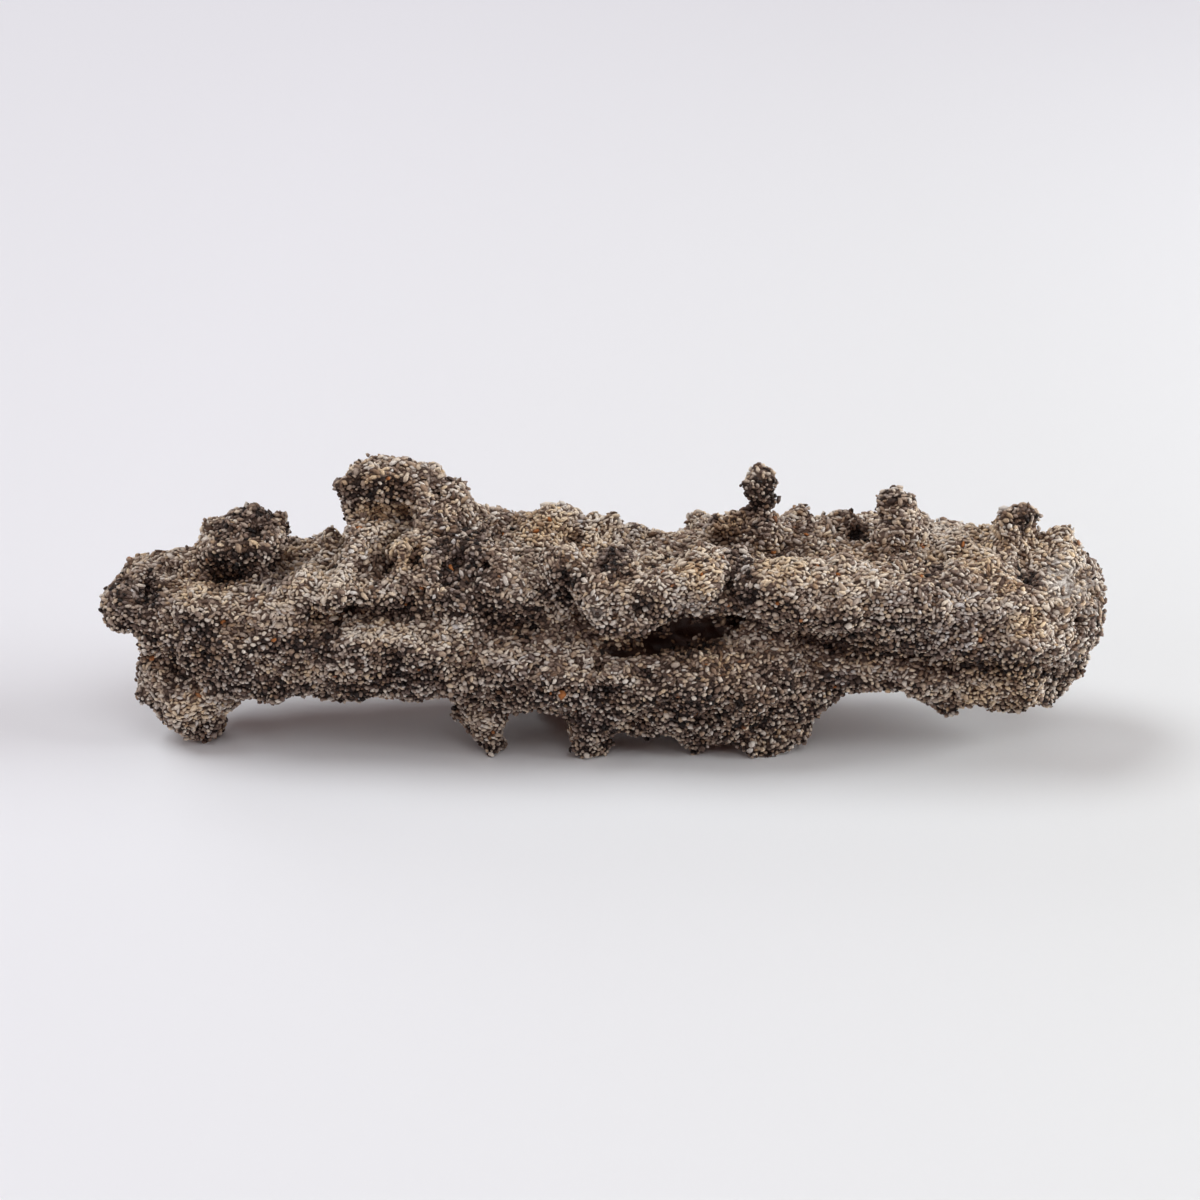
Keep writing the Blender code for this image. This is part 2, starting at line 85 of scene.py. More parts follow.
# Floor: its paint near the part on the left and on the right, and far behind it, and over
# how far one turns into the next. The paint is painted light: greyer on the right, which the
# near right lamp lights more, and whiter on the left and far behind, which it lights less
SHEET_LEFT = (239, 237, 240)
SHEET_RIGHT = (230, 229, 228)
SHEET_FAR = (250, 249, 254)
SHEET_WIDTH = 60.0
SHEET_DEPTH = 300.0
SHEET_SIZE = 8000.0

# Glass body: its fineness, how far it lies inside the solid, and its relief
GLASS_VOXEL = 0.2
GLASS_SOFTENING = 2
GLASS_INSET = 0.12
WELD_GAP = 0.0001
LUMP_SPAN = 1.1
LUMP_RELIEF = 0.4
LUMP_MIDDLE = 0.42
CRUMB_SPAN = 0.6
CRUMB_RELIEF = 0.2
PITS = 620
PIT_RADII = (0.3, 0.62)
PIT_DEPTHS = (0.25, 0.6)
CAVITY_STEPS = 26
CAVITY_DEPTH = 0.4
FLOOR_GAP = 0.02

# Crust and painted top light: where ground looks up, glass and grains are paler and warmer,
# partly as a crust and partly as painted top light. How far ground must look up to have none
# or all of it, and what marks do to it
TOP_LIGHT_FACING = (-0.35, 0.55)
CRUST_AND_LIGHT_ON_PALE = 0.4
CRUST_AND_LIGHT_OFF_SHADE = 0.6
CRUST_AND_LIGHT_OFF_NOOK = 0.6

# Grains: beads lie in nooks and below, splinters where the ground looks up, and a few are perched on the
# rest. A shape's ranges are its length, width and height in radii, and its rise is how far its
# middle stands out of the glass in radii. Foot shade, painted shade that darkens each grain towards
# its foot in the glass, is a share at the top, upper and lower ring
GRAIN_SIDES = 5
GRAIN_SEEDS = 260000
GRAIN_RADIUS = 0.114
GRAIN_RADIUS_SPREAD = 0.2
GRAIN_RADIUS_LIMITS = (0.07, 0.19)
GRAIN_SPACING = 0.58
BEAD_ROOM = 1.14
BEAD_SHAPE = ((0.95, 1.3), (0.82, 1.0), (0.85, 1.1))
SPLINTER_SHAPE = ((1.2, 2.0), (0.6, 0.9), (0.7, 1.0))
BEAD_RISE = (0.3, 1.05)
SPLINTER_RISE = (0.1, 0.85)
GRAIN_TILT = 0.4
GRAIN_JITTER = 0.14
GRAIN_FLOW = 1.3
PERCHED_SHARE = 0.02
PERCHED_RISE = (1.2, 1.6)
GRAIN_PIECES = 5
GRAIN_FOOT_SHADE = (0.0, 0.3, 1.0)
CELL_FILL = 0.44

# Tones of the grains: clouds of smooth noise, each with its span and a shift of its own, and
# how much every field and cloud adds to a grain's brightness, warmth, coolness and painted foot
# shade. Crust and top light brightens grains that look up, partly as painted top light; sunk
# darkens grains in nooks as painted shade, and the soot and shade marks darken them, partly as painted
# shade
CLOUDS = {
    "broad": (3.4, 11.0),
    "patchy": (1.2, 5.0),
    "warm_cloud": (2.1, 23.0),
    "cool_cloud": (2.6, 31.0),
}
TONE = {
    "all": 0.6, "crust": 0.14, "broad": 0.1, "patchy": 0.16, "pale": 0.33, "soot_and_shade": -0.42, "sunk": -0.2,
}
WARMTH = {"all": 0.15, "crust": 0.15, "warm": 0.85, "warm_cloud": 0.3}
COOLNESS = {"all": 0.08, "slate": 0.9, "cool_cloud": 0.35}
FOOT_SHADE = {"all": 0.97, "crust": -0.27}
TONE_SPREAD = {"all": 0.33, "crust": -0.07}
WARMTH_SPREAD = 0.3
COOLNESS_SPREAD = 0.25
RUST_CHANCE = 0.003
RUST_AMOUNTS = (0.4, 1.0)

# Paints, as screen values. A pair is the two ends that noise blends between
DARK_GLASS = ((24, 13, 10), (60, 42, 35))
TOP_LIT_CRUST_GLASS = ((66, 48, 40), (152, 126, 110))
PALE_GLASS = ((128, 113, 102), (218, 208, 198))
UMBER_GLASS = ((34, 20, 15), (78, 52, 40))
SAND_TONES = (
    (28, 17, 13), (80, 60, 51), (133, 110, 97), (177, 155, 139), (214, 196, 179), (245, 233, 219),
)
RUST = ((150, 84, 40), (196, 126, 66))
FOOT_SHADE_PAINT = (70, 50, 40)

# Tints, multiplied into a grain's colour
WARM_TINT = (1.03, 0.87, 0.64, 1.0)
COOL_TINT = (0.84, 0.89, 1.0, 1.0)

# Finish, from polished at 0 to matt at 1: how rough the glass and the grains are, what makes
# them smoother or rougher, and the limits they keep to
GLASS_ROUGHNESS = 0.6
BARE_POLISH = 0.35
SLOT_POLISH = 0.3
GRIT_ROUGHNESS = 0.15
GLASS_LIMITS = (0.12, 0.9)
GRAIN_ROUGHNESS = 0.65
GLOSS_POLISH = 0.45
MOTTLE_ROUGHNESS = 0.2
GRAIN_LIMITS = (0.1, 0.9)
SAND_REFLECTION = 0.35

# How strongly noise shows: mottle in a grain's tone, streaks in the glass's relief, and flaws
# in bare glass, whose noise is spread and then lowered
TONE_MOTTLE = 0.35
STREAK_RELIEF = 0.6
FLAW_CONTRAST = 4.0
FLAW_CUT = 1.5

# Marks in the view have edges frayed by noise of this span in millimetres. The fray, the depth
# along the view, the edge and the fully covered core are shares of a mark's half size
MARK_FRAY = 0.35
MARK_FRAY_SPAN = 0.7
MARK_FRAY_SHIFT = 3.7
MARK_DEPTH = 1.3
MARK_EDGE = 1.35
MARK_CORE = 0.55

# Pulls on the outline in the view: u, v, reach, then how far to the right and up
NUDGE_DEPTH = 2.5
NUDGES = {
    "head_slope": (190, 552, 0.9, 0.15, -0.3),
    "hump_left_corner": (213, 530, 1.0, -0.4, 0.5),
    "hump_top": (250, 510, 1.0, 0.0, 0.2),
    "hump_right_corner": (280, 518, 0.8, 0.3, 0.3),
    "saddle": (312, 524, 1.7, 0.0, -1.1),
    "saddle_lump": (333, 539, 0.9, 0.0, 0.5),
    "crown_root": (352, 533, 0.8, -0.3, 0.3),
    "crown_left": (344, 488, 0.7, -0.5, 0.0),
    "crown_right": (455, 492, 1.1, 0.2, 0.3),
    "crown_undercut": (350, 511, 0.9, 0.85, 0.0),
    "crown_left_top": (355, 470, 0.7, -0.35, 0.15),
    "crown_top": (385, 460, 1.2, 0.0, -0.4),
    "shoulder": (520, 518, 1.0, 0.0, 0.25),
    "dip_end": (686, 522, 0.8, 0.1, -0.45),
    "stalk_step": (713, 520, 0.8, 0.0, 0.3),
    "stalk_step_near": (732, 518, 0.8, 0.0, 0.3),
    "bulb_top": (760, 472, 0.7, 0.0, 0.2),
    "bulb_right": (768, 480, 0.7, 0.35, 0.0),
    "bulb_left": (750, 480, 0.6, -0.2, 0.0),
    "stalk_left": (752, 500, 0.5, -0.2, 0.0),
    "stalk_right": (767, 500, 0.6, 0.4, 0.0),
    "first_bump": (800, 514, 1.2, 0.0, 0.3),
    "bump_valley": (822, 527, 1.0, 0.0, 0.55),
    "second_bump": (850, 521, 0.9, 0.0, 0.4),
    "cap_top": (897, 500, 1.1, 0.05, 0.6),
    "knob_left": (1004, 522, 0.7, -0.3, 0.1),
    "end_shoulder": (1062, 540, 1.2, 0.15, 0.45),
    "end_low": (1084, 645, 1.3, -0.4, 0.0),
    "end_corner": (1056, 688, 1.1, -0.6, 0.25),
    "end_corner_low": (1062, 698, 0.9, -0.35, 0.3),
    "left_lobe": (948, 708, 0.8, 0.0, -0.55),
    "middle_lobe": (988, 704, 0.55, 0.0, -0.4),
    "belly_spur": (826, 696, 0.6, 0.2, -0.35),
    "belly_end": (815, 715, 0.7, -0.2, 0.0),
    "head_left": (118, 574, 1.0, 0.2, -0.3),
    "head_top": (131, 563, 0.9, 0.15, -0.35),
    "left_foot_back": (227, 722, 0.8, -0.1, 0.3),
    "underside_left": (275, 697, 0.8, 0.0, -0.25),
    "underside_middle": (356, 697, 0.7, 0.0, -0.2),
}

# Nooks sunk in the glass and swells raised on it: u, v, half width, half height and how far
NOOKS = {
    "hump_pit": (225, 578, 0.7, 0.6, 0.2),
    "hump_hollow": (249, 533, 0.6, 0.4, 0.25),
    "hump_eye": (276, 560, 0.35, 0.4, 0.35),
    "head_crease": (150, 596, 0.3, 1.2, 0.2),
    "foot_crease": (173, 672, 0.35, 1.0, 0.25),
    "foot_hollow": (204, 655, 0.9, 0.35, 0.25),
    "ledge_start": (205, 630, 0.8, 0.35, 0.2),
    "underside_left": (278, 690, 0.9, 0.5, 0.2),
    "ledge_groove": (300, 636, 1.4, 0.35, 0.3),
    "underside_middle": (354, 690, 0.9, 0.4, 0.2),
    "groove_eye": (348, 608, 0.35, 0.35, 0.3),
    "groove_middle": (375, 613, 0.5, 0.25, 0.15),
    "crown_pit": (412, 563, 0.35, 0.35, 0.35),
    "under_ledge": (398, 657, 0.5, 0.35, 0.2),
    "crown_side": (460, 545, 0.5, 0.5, 0.2),
    "front_eye": (566, 578, 0.4, 0.3, 0.3),
    "front_eye_tail": (566, 594, 0.25, 0.4, 0.25),
    "brow_pit": (645, 610, 0.5, 0.25, 0.2),
    "middle_groove": (510, 630, 1.2, 0.5, 0.15),
    "belly_pit": (603, 692, 0.7, 0.45, 0.2),
    "belly_nick": (657, 706, 0.4, 0.4, 0.2),
    "bump_pit": (861, 533, 0.5, 0.35, 0.25),
    "roll_groove": (885, 552, 1.0, 0.18, 0.3),
    "roll_pit": (931, 568, 0.4, 0.3, 0.2),
    "end_pit": (1026, 580, 0.6, 0.35, 0.25),
    "knob_pit": (1019, 527, 0.4, 0.4, 0.2),
    "crease_left": (900, 643, 1.4, 0.25, 0.27),
    "crease_right": (1003, 667, 2.6, 0.3, 0.32),
    "slot_left": (655, 643, 1.4, 0.4, 0.5),
    "slot_tail": (622, 650, 0.8, 0.3, 0.4),
    "slot_right": (704, 630, 1.4, 0.4, 0.5),
}
SWELLS = {
    "band": (742, 592, 0.55, 0.9, 0.7),
    "mouth_lip": (392, 534, 1.2, 0.5, 0.3),
    "chin": (384, 556, 0.8, 0.7, 0.4),
    "hump_brow": (222, 566, 0.8, 0.5, 0.2),
    "crown_lip": (385, 500, 1.5, 0.4, 0.25),
    "right_ledge": (1035, 651, 2.0, 0.3, 0.2),
}

# Tones laid on in the view: u, v, half width, half height and amount
# Pale marks are the sand's paler zones. Under the crown (crown lip, mouth lip, chin) and on undersides
# (underside left, lobes, middle lobe, peg) they also lighten what lies in shade: partly pale sand and
# partly painted light
PALE = {
    "saddle_face": (322, 572, 1.7, 1.6, 0.95),
    "left_face": (280, 605, 1.2, 0.8, 0.7),
    "head_side": (190, 590, 0.9, 1.1, 0.5),
    "crown_foot": (350, 545, 1.3, 0.9, 0.5),
    "left_foot": (190, 712, 1.9, 1.1, 1.0),
    "ledge": (395, 632, 2.4, 0.6, 0.8),
    "ledge_end": (450, 636, 1.7, 0.9, 0.7),
    "top_middle": (558, 530, 2.0, 1.5, 1.0),
    "top_right": (616, 528, 1.8, 0.9, 1.0),
    "brow_left": (596, 606, 1.9, 0.9, 0.5),
    "brow": (690, 590, 1.8, 1.1, 1.0),
    "front_low": (520, 655, 1.1, 1.0, 0.3),
    "roll_left": (792, 565, 1.7, 1.3, 0.8),
    "roll_middle": (850, 580, 2.0, 1.2, 0.6),
    "cap_right": (940, 537, 1.7, 1.2, 0.95),
    "knob_left": (985, 540, 1.4, 0.9, 0.95),
    "roll_low": (985, 605, 1.3, 0.5, 0.4),
    "end_face": (1040, 610, 2.2, 0.9, 0.5),
    "end_ledge": (1062, 650, 1.5, 1.0, 0.6),
    "lobes": (990, 693, 3.2, 0.8, 0.9),
    "glassy_patch": (1066, 577, 1.5, 1.8, 0.8),
    "bridge_edge": (872, 675, 1.8, 0.5, 0.4),
    "under_ledge": (415, 660, 0.8, 0.3, 0.4),
    "belly_spot": (632, 696, 0.6, 0.6, 0.3),
    "end_shoulder": (1062, 545, 1.4, 1.0, 0.7),
    "mouth_lip": (388, 536, 1.8, 0.7, 1.0),
    "saddle_lump": (335, 535, 0.8, 0.6, 0.7),
    "middle_lobe": (1000, 695, 2.6, 0.6, 0.6),
    "underside_left": (310, 672, 3.2, 0.6, 0.6),
    "peg": (480, 725, 1.4, 1.3, 0.5),
    "chin": (390, 540, 1.8, 0.8, 0.9),
    "right_face": (930, 615, 3.0, 1.5, 0.35),
    "crown_lip": (385, 507, 1.5, 0.5, 0.6),
    "top_face": (580, 543, 2.2, 0.8, 0.4),
}
# Soot and shade: darker marks, partly dark glass and partly painted shade in creases, pits, hollows, the
# slot and under the ledges and the belly
SOOT_AND_SHADE = {
    "head_crease": (150, 596, 0.6, 1.3, 0.9),
    "head": (120, 585, 1.0, 1.0, 0.5),
    "hump_foot": (238, 562, 1.2, 1.0, 0.8),
    "hump_hollow": (249, 533, 0.7, 0.45, 0.9),
    "hump_eye": (276, 561, 0.5, 0.5, 0.9),
    "hump_pit": (226, 572, 1.4, 1.2, 0.9),
    "foot_crease": (173, 672, 0.6, 1.4, 0.5),
    "foot_hollow": (204, 657, 0.9, 0.5, 0.8),
    "ledge_start": (205, 630, 1.0, 0.6, 0.5),
    "underside_left": (278, 690, 1.2, 0.9, 0.6),
    "under_ledge_left": (308, 643, 1.6, 0.8, 0.6),
    "underside_middle": (354, 695, 1.1, 0.7, 0.65),
    "groove_eye": (348, 608, 0.5, 0.5, 0.9),
    "groove_middle": (398, 613, 1.4, 0.5, 0.5),
    "chin_pit": (384, 564, 0.9, 0.7, 0.3),
    "crown_pit": (414, 563, 0.4, 0.5, 0.8),
    "under_ledge_right": (412, 670, 1.6, 1.0, 0.5),
    "crown_side": (462, 555, 1.8, 2.4, 0.65),
    "top_spot": (575, 524, 0.8, 0.5, 0.7),
    "front_spot": (615, 558, 1.1, 1.0, 0.6),
    "front_eye": (566, 578, 0.8, 0.5, 1.0),
    "front_eye_tail": (566, 596, 0.4, 0.6, 1.0),
    "brow_pit": (645, 610, 0.7, 0.5, 0.6),
    "band": (737, 565, 0.6, 1.8, 0.7),
    "middle_groove": (512, 622, 1.8, 1.0, 0.6),
    "front_low": (568, 630, 1.7, 0.6, 0.3),
    "belly_pit": (603, 695, 1.0, 0.7, 0.8),
    "belly_nick": (657, 710, 0.5, 0.5, 0.8),
    "bump_pit": (861, 535, 0.7, 0.6, 0.7),
    "roll_pit": (931, 569, 0.6, 0.5, 0.6),
    "end_pit": (1028, 577, 0.8, 0.6, 1.0),
    "knob_pit": (1017, 518, 0.9, 0.9, 0.4),
    "crease_left": (860, 645, 3.2, 0.7, 0.5),
    "crease_right": (1003, 669, 2.8, 0.35, 0.6),
    "band_right": (750, 592, 0.4, 1.2, 0.6),
    "belly_right": (775, 700, 2.2, 2.6, 0.35),
    "belly_middle": (680, 690, 2.4, 2.2, 0.4),
    "belly_foot": (600, 726, 1.6, 1.0, 0.3),
    "crease_top": (900, 625, 1.2, 0.6, 0.3),
    "crown_face": (382, 484, 1.8, 0.8, 0.35),
    "stalk": (758, 500, 1.1, 2.0, 0.4),
    "head_underside": (155, 640, 1.0, 0.4, 0.3),
    "hump_top": (245, 520, 2.0, 1.2, 0.65),
    "cap": (897, 505, 1.3, 1.4, 0.25),
    "knob": (1020, 518, 1.1, 1.0, 0.5),
    "slot_floor": (684, 647, 2.6, 0.4, 0.9),
    "brow_stain": (700, 560, 0.9, 0.3, 0.2),
}
WARM = {
    "head_side": (190, 590, 1.1, 1.2, 0.4),
    "hump_hollow": (250, 542, 0.5, 0.4, 0.8),
    "hump_corner": (288, 548, 0.6, 0.6, 0.8),
    "groove_left": (328, 612, 0.8, 0.7, 0.7),
    "crown_face": (385, 482, 1.5, 0.6, 0.6),
    "crown_lip": (385, 508, 1.8, 0.6, 0.8),
    "chin": (395, 553, 1.4, 0.9, 0.5),
    "top_middle": (545, 528, 1.6, 1.1, 0.6),
    "brow_stain": (690, 568, 0.9, 0.5, 0.9),
    "brow": (697, 588, 0.6, 0.4, 0.6),
    "stalk_step": (728, 524, 0.9, 0.7, 0.7),
    "roll_left": (780, 565, 1.5, 1.2, 0.5),
    "roll_pit": (920, 573, 0.4, 0.4, 1.0),
    "roll_right": (980, 562, 1.3, 1.1, 0.6),
    "end_pit": (1011, 586, 0.6, 0.4, 1.0),
    "end_face": (1028, 622, 0.9, 0.7, 0.8),
    "hump_pit": (222, 578, 0.9, 0.9, 0.7),
    "foot_hollow": (204, 657, 0.9, 0.5, 0.5),
    "slot_lip": (720, 660, 2.2, 1.1, 0.4),
    "slot_floor": (660, 643, 3.0, 0.6, 0.7),
    "crease_right": (1003, 672, 2.8, 0.7, 0.6),
    "lobes": (1000, 700, 2.6, 0.8, 0.5),
    "left_foot": (190, 715, 1.8, 0.8, 0.3),
    "foot_edge": (146, 655, 0.4, 0.4, 1.0),
}
SLATE = {
    "head": (128, 590, 1.6, 1.8, 0.5),
    "hump_foot": (275, 580, 1.2, 1.0, 0.7),
    "ledge_start": (205, 630, 1.0, 0.6, 0.7),
    "crown_side": (460, 557, 1.5, 2.4, 0.7),
    "front_spot": (617, 552, 1.2, 0.9, 0.6),
    "top_spot": (573, 523, 0.8, 0.5, 0.6),
    "right_face": (940, 620, 3.0, 1.8, 0.6),
    "right_ledge": (978, 650, 1.3, 0.8, 0.9),
    "bridge_edge": (872, 677, 1.8, 0.6, 0.8),
    "belly_pit": (603, 695, 1.1, 0.8, 0.5),
    "belly_foot": (600, 726, 1.4, 0.9, 0.4),
    "front_low": (510, 668, 1.2, 0.8, 0.5),
    "roll_low": (895, 600, 1.2, 0.7, 0.4),
    "band": (738, 560, 0.7, 2.2, 0.4),
}
BARE_GLASS = {
    "glassy_patch": (1066, 577, 1.2, 1.6, 0.9),
    "rim": (1094, 598, 0.7, 1.7, 0.6),
    "ledge_end": (1080, 660, 0.5, 0.7, 0.5),
    "brow_left": (600, 615, 1.2, 0.25, 0.5),
    "brow_edge": (700, 610, 1.6, 0.2, 0.6),
}
BARE_SLOT = {
    "tail": (622, 650, 0.8, 0.4, 1.0),
    "left": (640, 648, 0.9, 0.5, 1.0),
    "left_middle": (655, 642, 1.0, 0.65, 1.0),
    "middle": (683, 633, 1.0, 0.8, 1.0),
    "right_middle": (710, 629, 0.9, 0.75, 1.0),
    "right": (732, 622, 0.6, 0.55, 0.9),
}
MARKS = {
    "nook": NOOKS,
    "swell": SWELLS,
    "pale": PALE,
    "soot_and_shade": SOOT_AND_SHADE,
    "warm": WARM,
    "slate": SLATE,
    "bare": BARE_GLASS,
    "slot": BARE_SLOT,
}

# Single grains in the view, rusty or bright: u, v and radius. The bright ones are painted
# highlights: the palest, glossiest grains, with no foot shade, where glints show
RUST_GRAINS = {
    "belly_left": (560, 693, 0.24),
    "top_left": (505, 536, 0.15),
    "top_middle": (550, 520, 0.14),
    "top_middle_low": (537, 534, 0.13),
    "top_face": (575, 546, 0.14),
    "brow": (700, 575, 0.13),
    "stalk_foot": (774, 551, 0.15),
    "roll_low": (777, 602, 0.14),
    "belly_middle": (695, 712, 0.14),
    "roll_middle": (839, 575, 0.13),
    "crown": (385, 475, 0.14),
    "crown_side": (450, 567, 0.15),
    "roll_right": (977, 562, 0.15),
    "left_face": (225, 621, 0.15),
    "ledge": (275, 641, 0.13),
    "foot_edge": (152, 656, 0.16),
    "roll_pit": (921, 578, 0.13),
    "knob_left": (963, 546, 0.12),
}
GLINTS = {
    "glassy_patch": (1067, 561, 0.1),
    "rim_high": (1094, 581, 0.11),
    "rim_low": (1091, 593, 0.1),
    "cap_left": (893, 515, 0.1),
    "cap_right": (896, 512, 0.09),
}
SINGLE_GRAINS = (
    (RUST_GRAINS, {"rust": 1.0, "tone": 0.6}),
    (GLINTS, {"tone": 1.0, "gloss": 1.0, "grime": 0.0}),
)


class Value:
    """A number in a material: Python's operators on it add the Math nodes."""

    def __init__(self, graph, socket):
        self.graph = graph
        self.socket = socket

    def __add__(self, other):
        return self.graph.math("ADD", self, other)

    def __radd__(self, other):
        return self.graph.math("ADD", other, self)

    def __sub__(self, other):
        return self.graph.math("SUBTRACT", self, other)

    def __rsub__(self, other):
        return self.graph.math("SUBTRACT", other, self)

    def __mul__(self, other):
        return self.graph.math("MULTIPLY", self, other)

    def __rmul__(self, other):
        return self.graph.math("MULTIPLY", other, self)

    def between(self, low, high):
        """The number kept from falling under low or rising over high."""
        lifted = self.graph.math("MAXIMUM", self, low)
        return self.graph.math("MINIMUM", lifted, high)


class Graph:
    """The nodes of one material."""

    def __init__(self, name):
        self.material = bpy.data.materials.new(name)
        self.material.use_nodes = True
        self.tree = self.material.node_tree
        self.shader = self.tree.nodes["Principled BSDF"]

    def node(self, kind, settings=None, inputs=()):
        """Add a node: its settings first, then a value or a link for each input."""
        made = self.tree.nodes.new(kind)
        for name, setting in (settings or {}).items():
            if name == "stops":
                self.set_stops(made.color_ramp, setting)
            else:
                setattr(made, name, setting)
        for key, value in inputs:
            self.feed(made.inputs[key], value)
        return made

    def set_stops(self, ramp, stops):
        """Give a colour ramp these positions and colours."""
        while len(ramp.elements) < len(stops):
            ramp.elements.new(1.0)
        for element, (position, colour) in zip(ramp.elements, stops):
            element.position = position
            element.color = colour

    def feed(self, socket, value):
        """Link a value to a socket, or set the socket to it."""
        if isinstance(value, Value):
            value = value.socket
        if isinstance(value, bpy.types.NodeSocket):
            self.tree.links.new(value, socket)
        else:
            socket.default_value = value

    def math(self, operation, first, second):
        """One Math node on two numbers."""
        node = self.node("ShaderNodeMath", {"operation": operation}, enumerate((first, second)))
        return Value(self, node.outputs[0])

    def noted(self, name):
        """A number that the mesh carries at its points."""
        node = self.node("ShaderNodeAttribute", {"attribute_name": name})
        return Value(self, node.outputs["Fac"])

    def noise(self, span, detail=3.0, roughness=0.55):
        """Cloudy noise of about this span in millimetres."""
        place = self.node("ShaderNodeTexCoord").outputs["Object"]
        inputs = (
            ("Vector", place),
            ("Scale", 1.0 / (span * MM)),
            ("Detail", detail),
            ("Roughness", roughness),
        )
        return Value(self, self.node("ShaderNodeTexNoise", {}, inputs).outputs["Fac"])

    def mixed(self, factor, first, second, blend="MIX"):
        """Two colours mixed: none of the second at 0 and all of it at 1."""
        settings = {"data_type": "RGBA", "blend_type": blend, "clamp_factor": True}
        inputs = ((MIX_FACTOR, factor), *zip(MIX_COLOURS, (first, second)))
        return self.node("ShaderNodeMix", settings, inputs).outputs[MIX_RESULT]

    def painted(self, factor, paints):
        """A blend between a pair of paints."""
        first, second = paints
        return self.mixed(factor, paint(first), paint(second))

    def bump(self, height, depth, strength):
        """A normal that is bent by this height, over this depth in millimetres."""
        inputs = (("Height", height), ("Distance", depth * MM), ("Strength", strength))
        return self.node("ShaderNodeBump", {}, inputs).outputs["Normal"]

    def finish(self, **inputs):
        """Set or link the shader's own sockets, each named with _ for a space."""
        for name, value in inputs.items():
            self.feed(self.shader.inputs[name.replace("_", " ")], value)
        return self.material


def paint(screen):
    """A paint given as screen values 0 to 255, in linear light and fully opaque."""
    shares = [level / 255 for level in screen]
    light = [share / 12.92 if share <= 0.04045 else ((share + 0.055) / 1.055) ** 2.4 for share in shares]
    return (*light, 1.0)


# Camera, light and floor


def view_axes():
    """The camera's rightward, upward and backward directions."""
    tilt = math.radians(CAMERA_ELEVATION)
    right = Vector((1.0, 0.0, 0.0))
    up = Vector((0.0, math.sin(tilt), math.cos(tilt)))
    away = Vector((0.0, -math.cos(tilt), math.sin(tilt)))
    return right, up, away


def place_camera():
    """The camera, in front of the part and looking down on it."""
    lens = bpy.data.cameras.new("camera")
    lens.lens = LENS
    lens.sensor_width = SENSOR
    lens.clip_start = NEAR_CLIP * MM
    lens.clip_end = FAR_CLIP * MM
    camera = bpy.data.objects.new("camera", lens)
    bpy.context.scene.collection.objects.link(camera)
    away = view_axes()[2]
    camera.location = (Vector(CAMERA_TARGET) + away * CAMERA_DISTANCE) * MM
    camera.rotation_euler = away.to_track_quat("Z", "Y").to_euler()
    bpy.context.scene.camera = camera


def place_lamps():
    """Round soft lamps, each as bright as its share of the light on the floor needs."""
    for name, bearing, height, distance, spread, share in LAMPS:
        around = math.radians(bearing)
        rise = math.radians(height)
        away = distance * MM
        light = bpy.data.lights.new(name, "AREA")
        light.shape = "DISK"
        light.size = 2 * away * math.tan(math.radians(spread) / 2)
        # What a disk sheds on the floor falls with its distance squared and with its slant
        light.energy = share * FLOOR_LIGHT * math.pi / math.sin(rise) * math.pi * away**2
        light.color = LAMP_COLOUR
        lamp = bpy.data.objects.new(name, light)
        towards = Vector((math.sin(around), math.cos(around), math.tan(rise))).normalized()
        lamp.location = towards * away
        lamp.rotation_euler = towards.to_track_quat("Z", "Y").to_euler()
        bpy.context.scene.collection.objects.link(lamp)


def place_fill():
    """Weak warm light from all around."""
    world = bpy.data.worlds.new("studio")
    world.use_nodes = True
    background = world.node_tree.nodes["Background"]
    background.inputs["Color"].default_value = (*FILL_COLOUR, 1.0)
    background.inputs["Strength"].default_value = FILL_SHARE * FLOOR_LIGHT
    bpy.context.scene.world = world
    bpy.context.scene.view_settings.view_transform = "Standard"


def floor_material():
    """Matt white sheet, greyer to the right and whiter far behind: painted light that evens out the near
    lamp.
    """
    graph = Graph("white_sheet")
    place = graph.node("ShaderNodeTexCoord").outputs["Object"]
    axes = graph.node("ShaderNodeSeparateXYZ", {}, (("Vector", place),)).outputs
    across = (Value(graph, axes["X"]) * (1 / (SHEET_WIDTH * MM)) + 0.5).between(0.0, 1.0)
    behind = (Value(graph, axes["Y"]) * (1 / (SHEET_DEPTH * MM))).between(0.0, 1.0)
    near = graph.painted(across, (SHEET_LEFT, SHEET_RIGHT))
    colour = graph.mixed(behind, near, paint(SHEET_FAR))
    return graph.finish(Base_Color=colour, Roughness=0.7, Specular_IOR_Level=0.2)


def lay_floor():
    """The sheet that the part lies on."""
    bpy.ops.mesh.primitive_plane_add(size=SHEET_SIZE * MM)
    sheet = bpy.context.object
    sheet.name = "floor"
    sheet.data.materials.append(floor_material())


# Meshes as arrays


def facings(points, triangles):
    """Outward normals of the triangles, as long as twice their area."""
    first, second, third = (points[triangles[:, corner]] for corner in range(3))
    return np.cross(second - first, third - first)


def corner_normals(points, triangles):
    """Outward unit normals at the points of a closed mesh."""
    facing = facings(points, triangles)
    total = np.zeros_like(points)
    for corner in range(3):
        for axis in range(3):
            total[:, axis] += np.bincount(triangles[:, corner], facing[:, axis], len(points))
    return total / np.linalg.norm(total, axis=1, keepdims=True)


def softened(values, links, steps):
    """Rows averaged with their neighbours' rows, this many times."""
    here = np.concatenate((links[:, 0], links[:, 1]))
    there = np.concatenate((links[:, 1], links[:, 0]))
    count = np.bincount(here, minlength=len(values))[:, None]
    for _ in range(steps):
        near = [np.bincount(here, column[there], len(values)) for column in values.T]
        values = (values + np.stack(near, axis=1) / count) / 2
    return values


def eased(share):
    """A share from 0 to 1 that starts and ends softly."""
    return share * share * (3 - 2 * share)


def neighbourhood(points):
    """A tree that finds the points near a place."""
    tree = kdtree.KDTree(len(points))
    for index, point in enumerate(points.tolist()):
        tree.insert(point, index)
    tree.balance()
    return tree


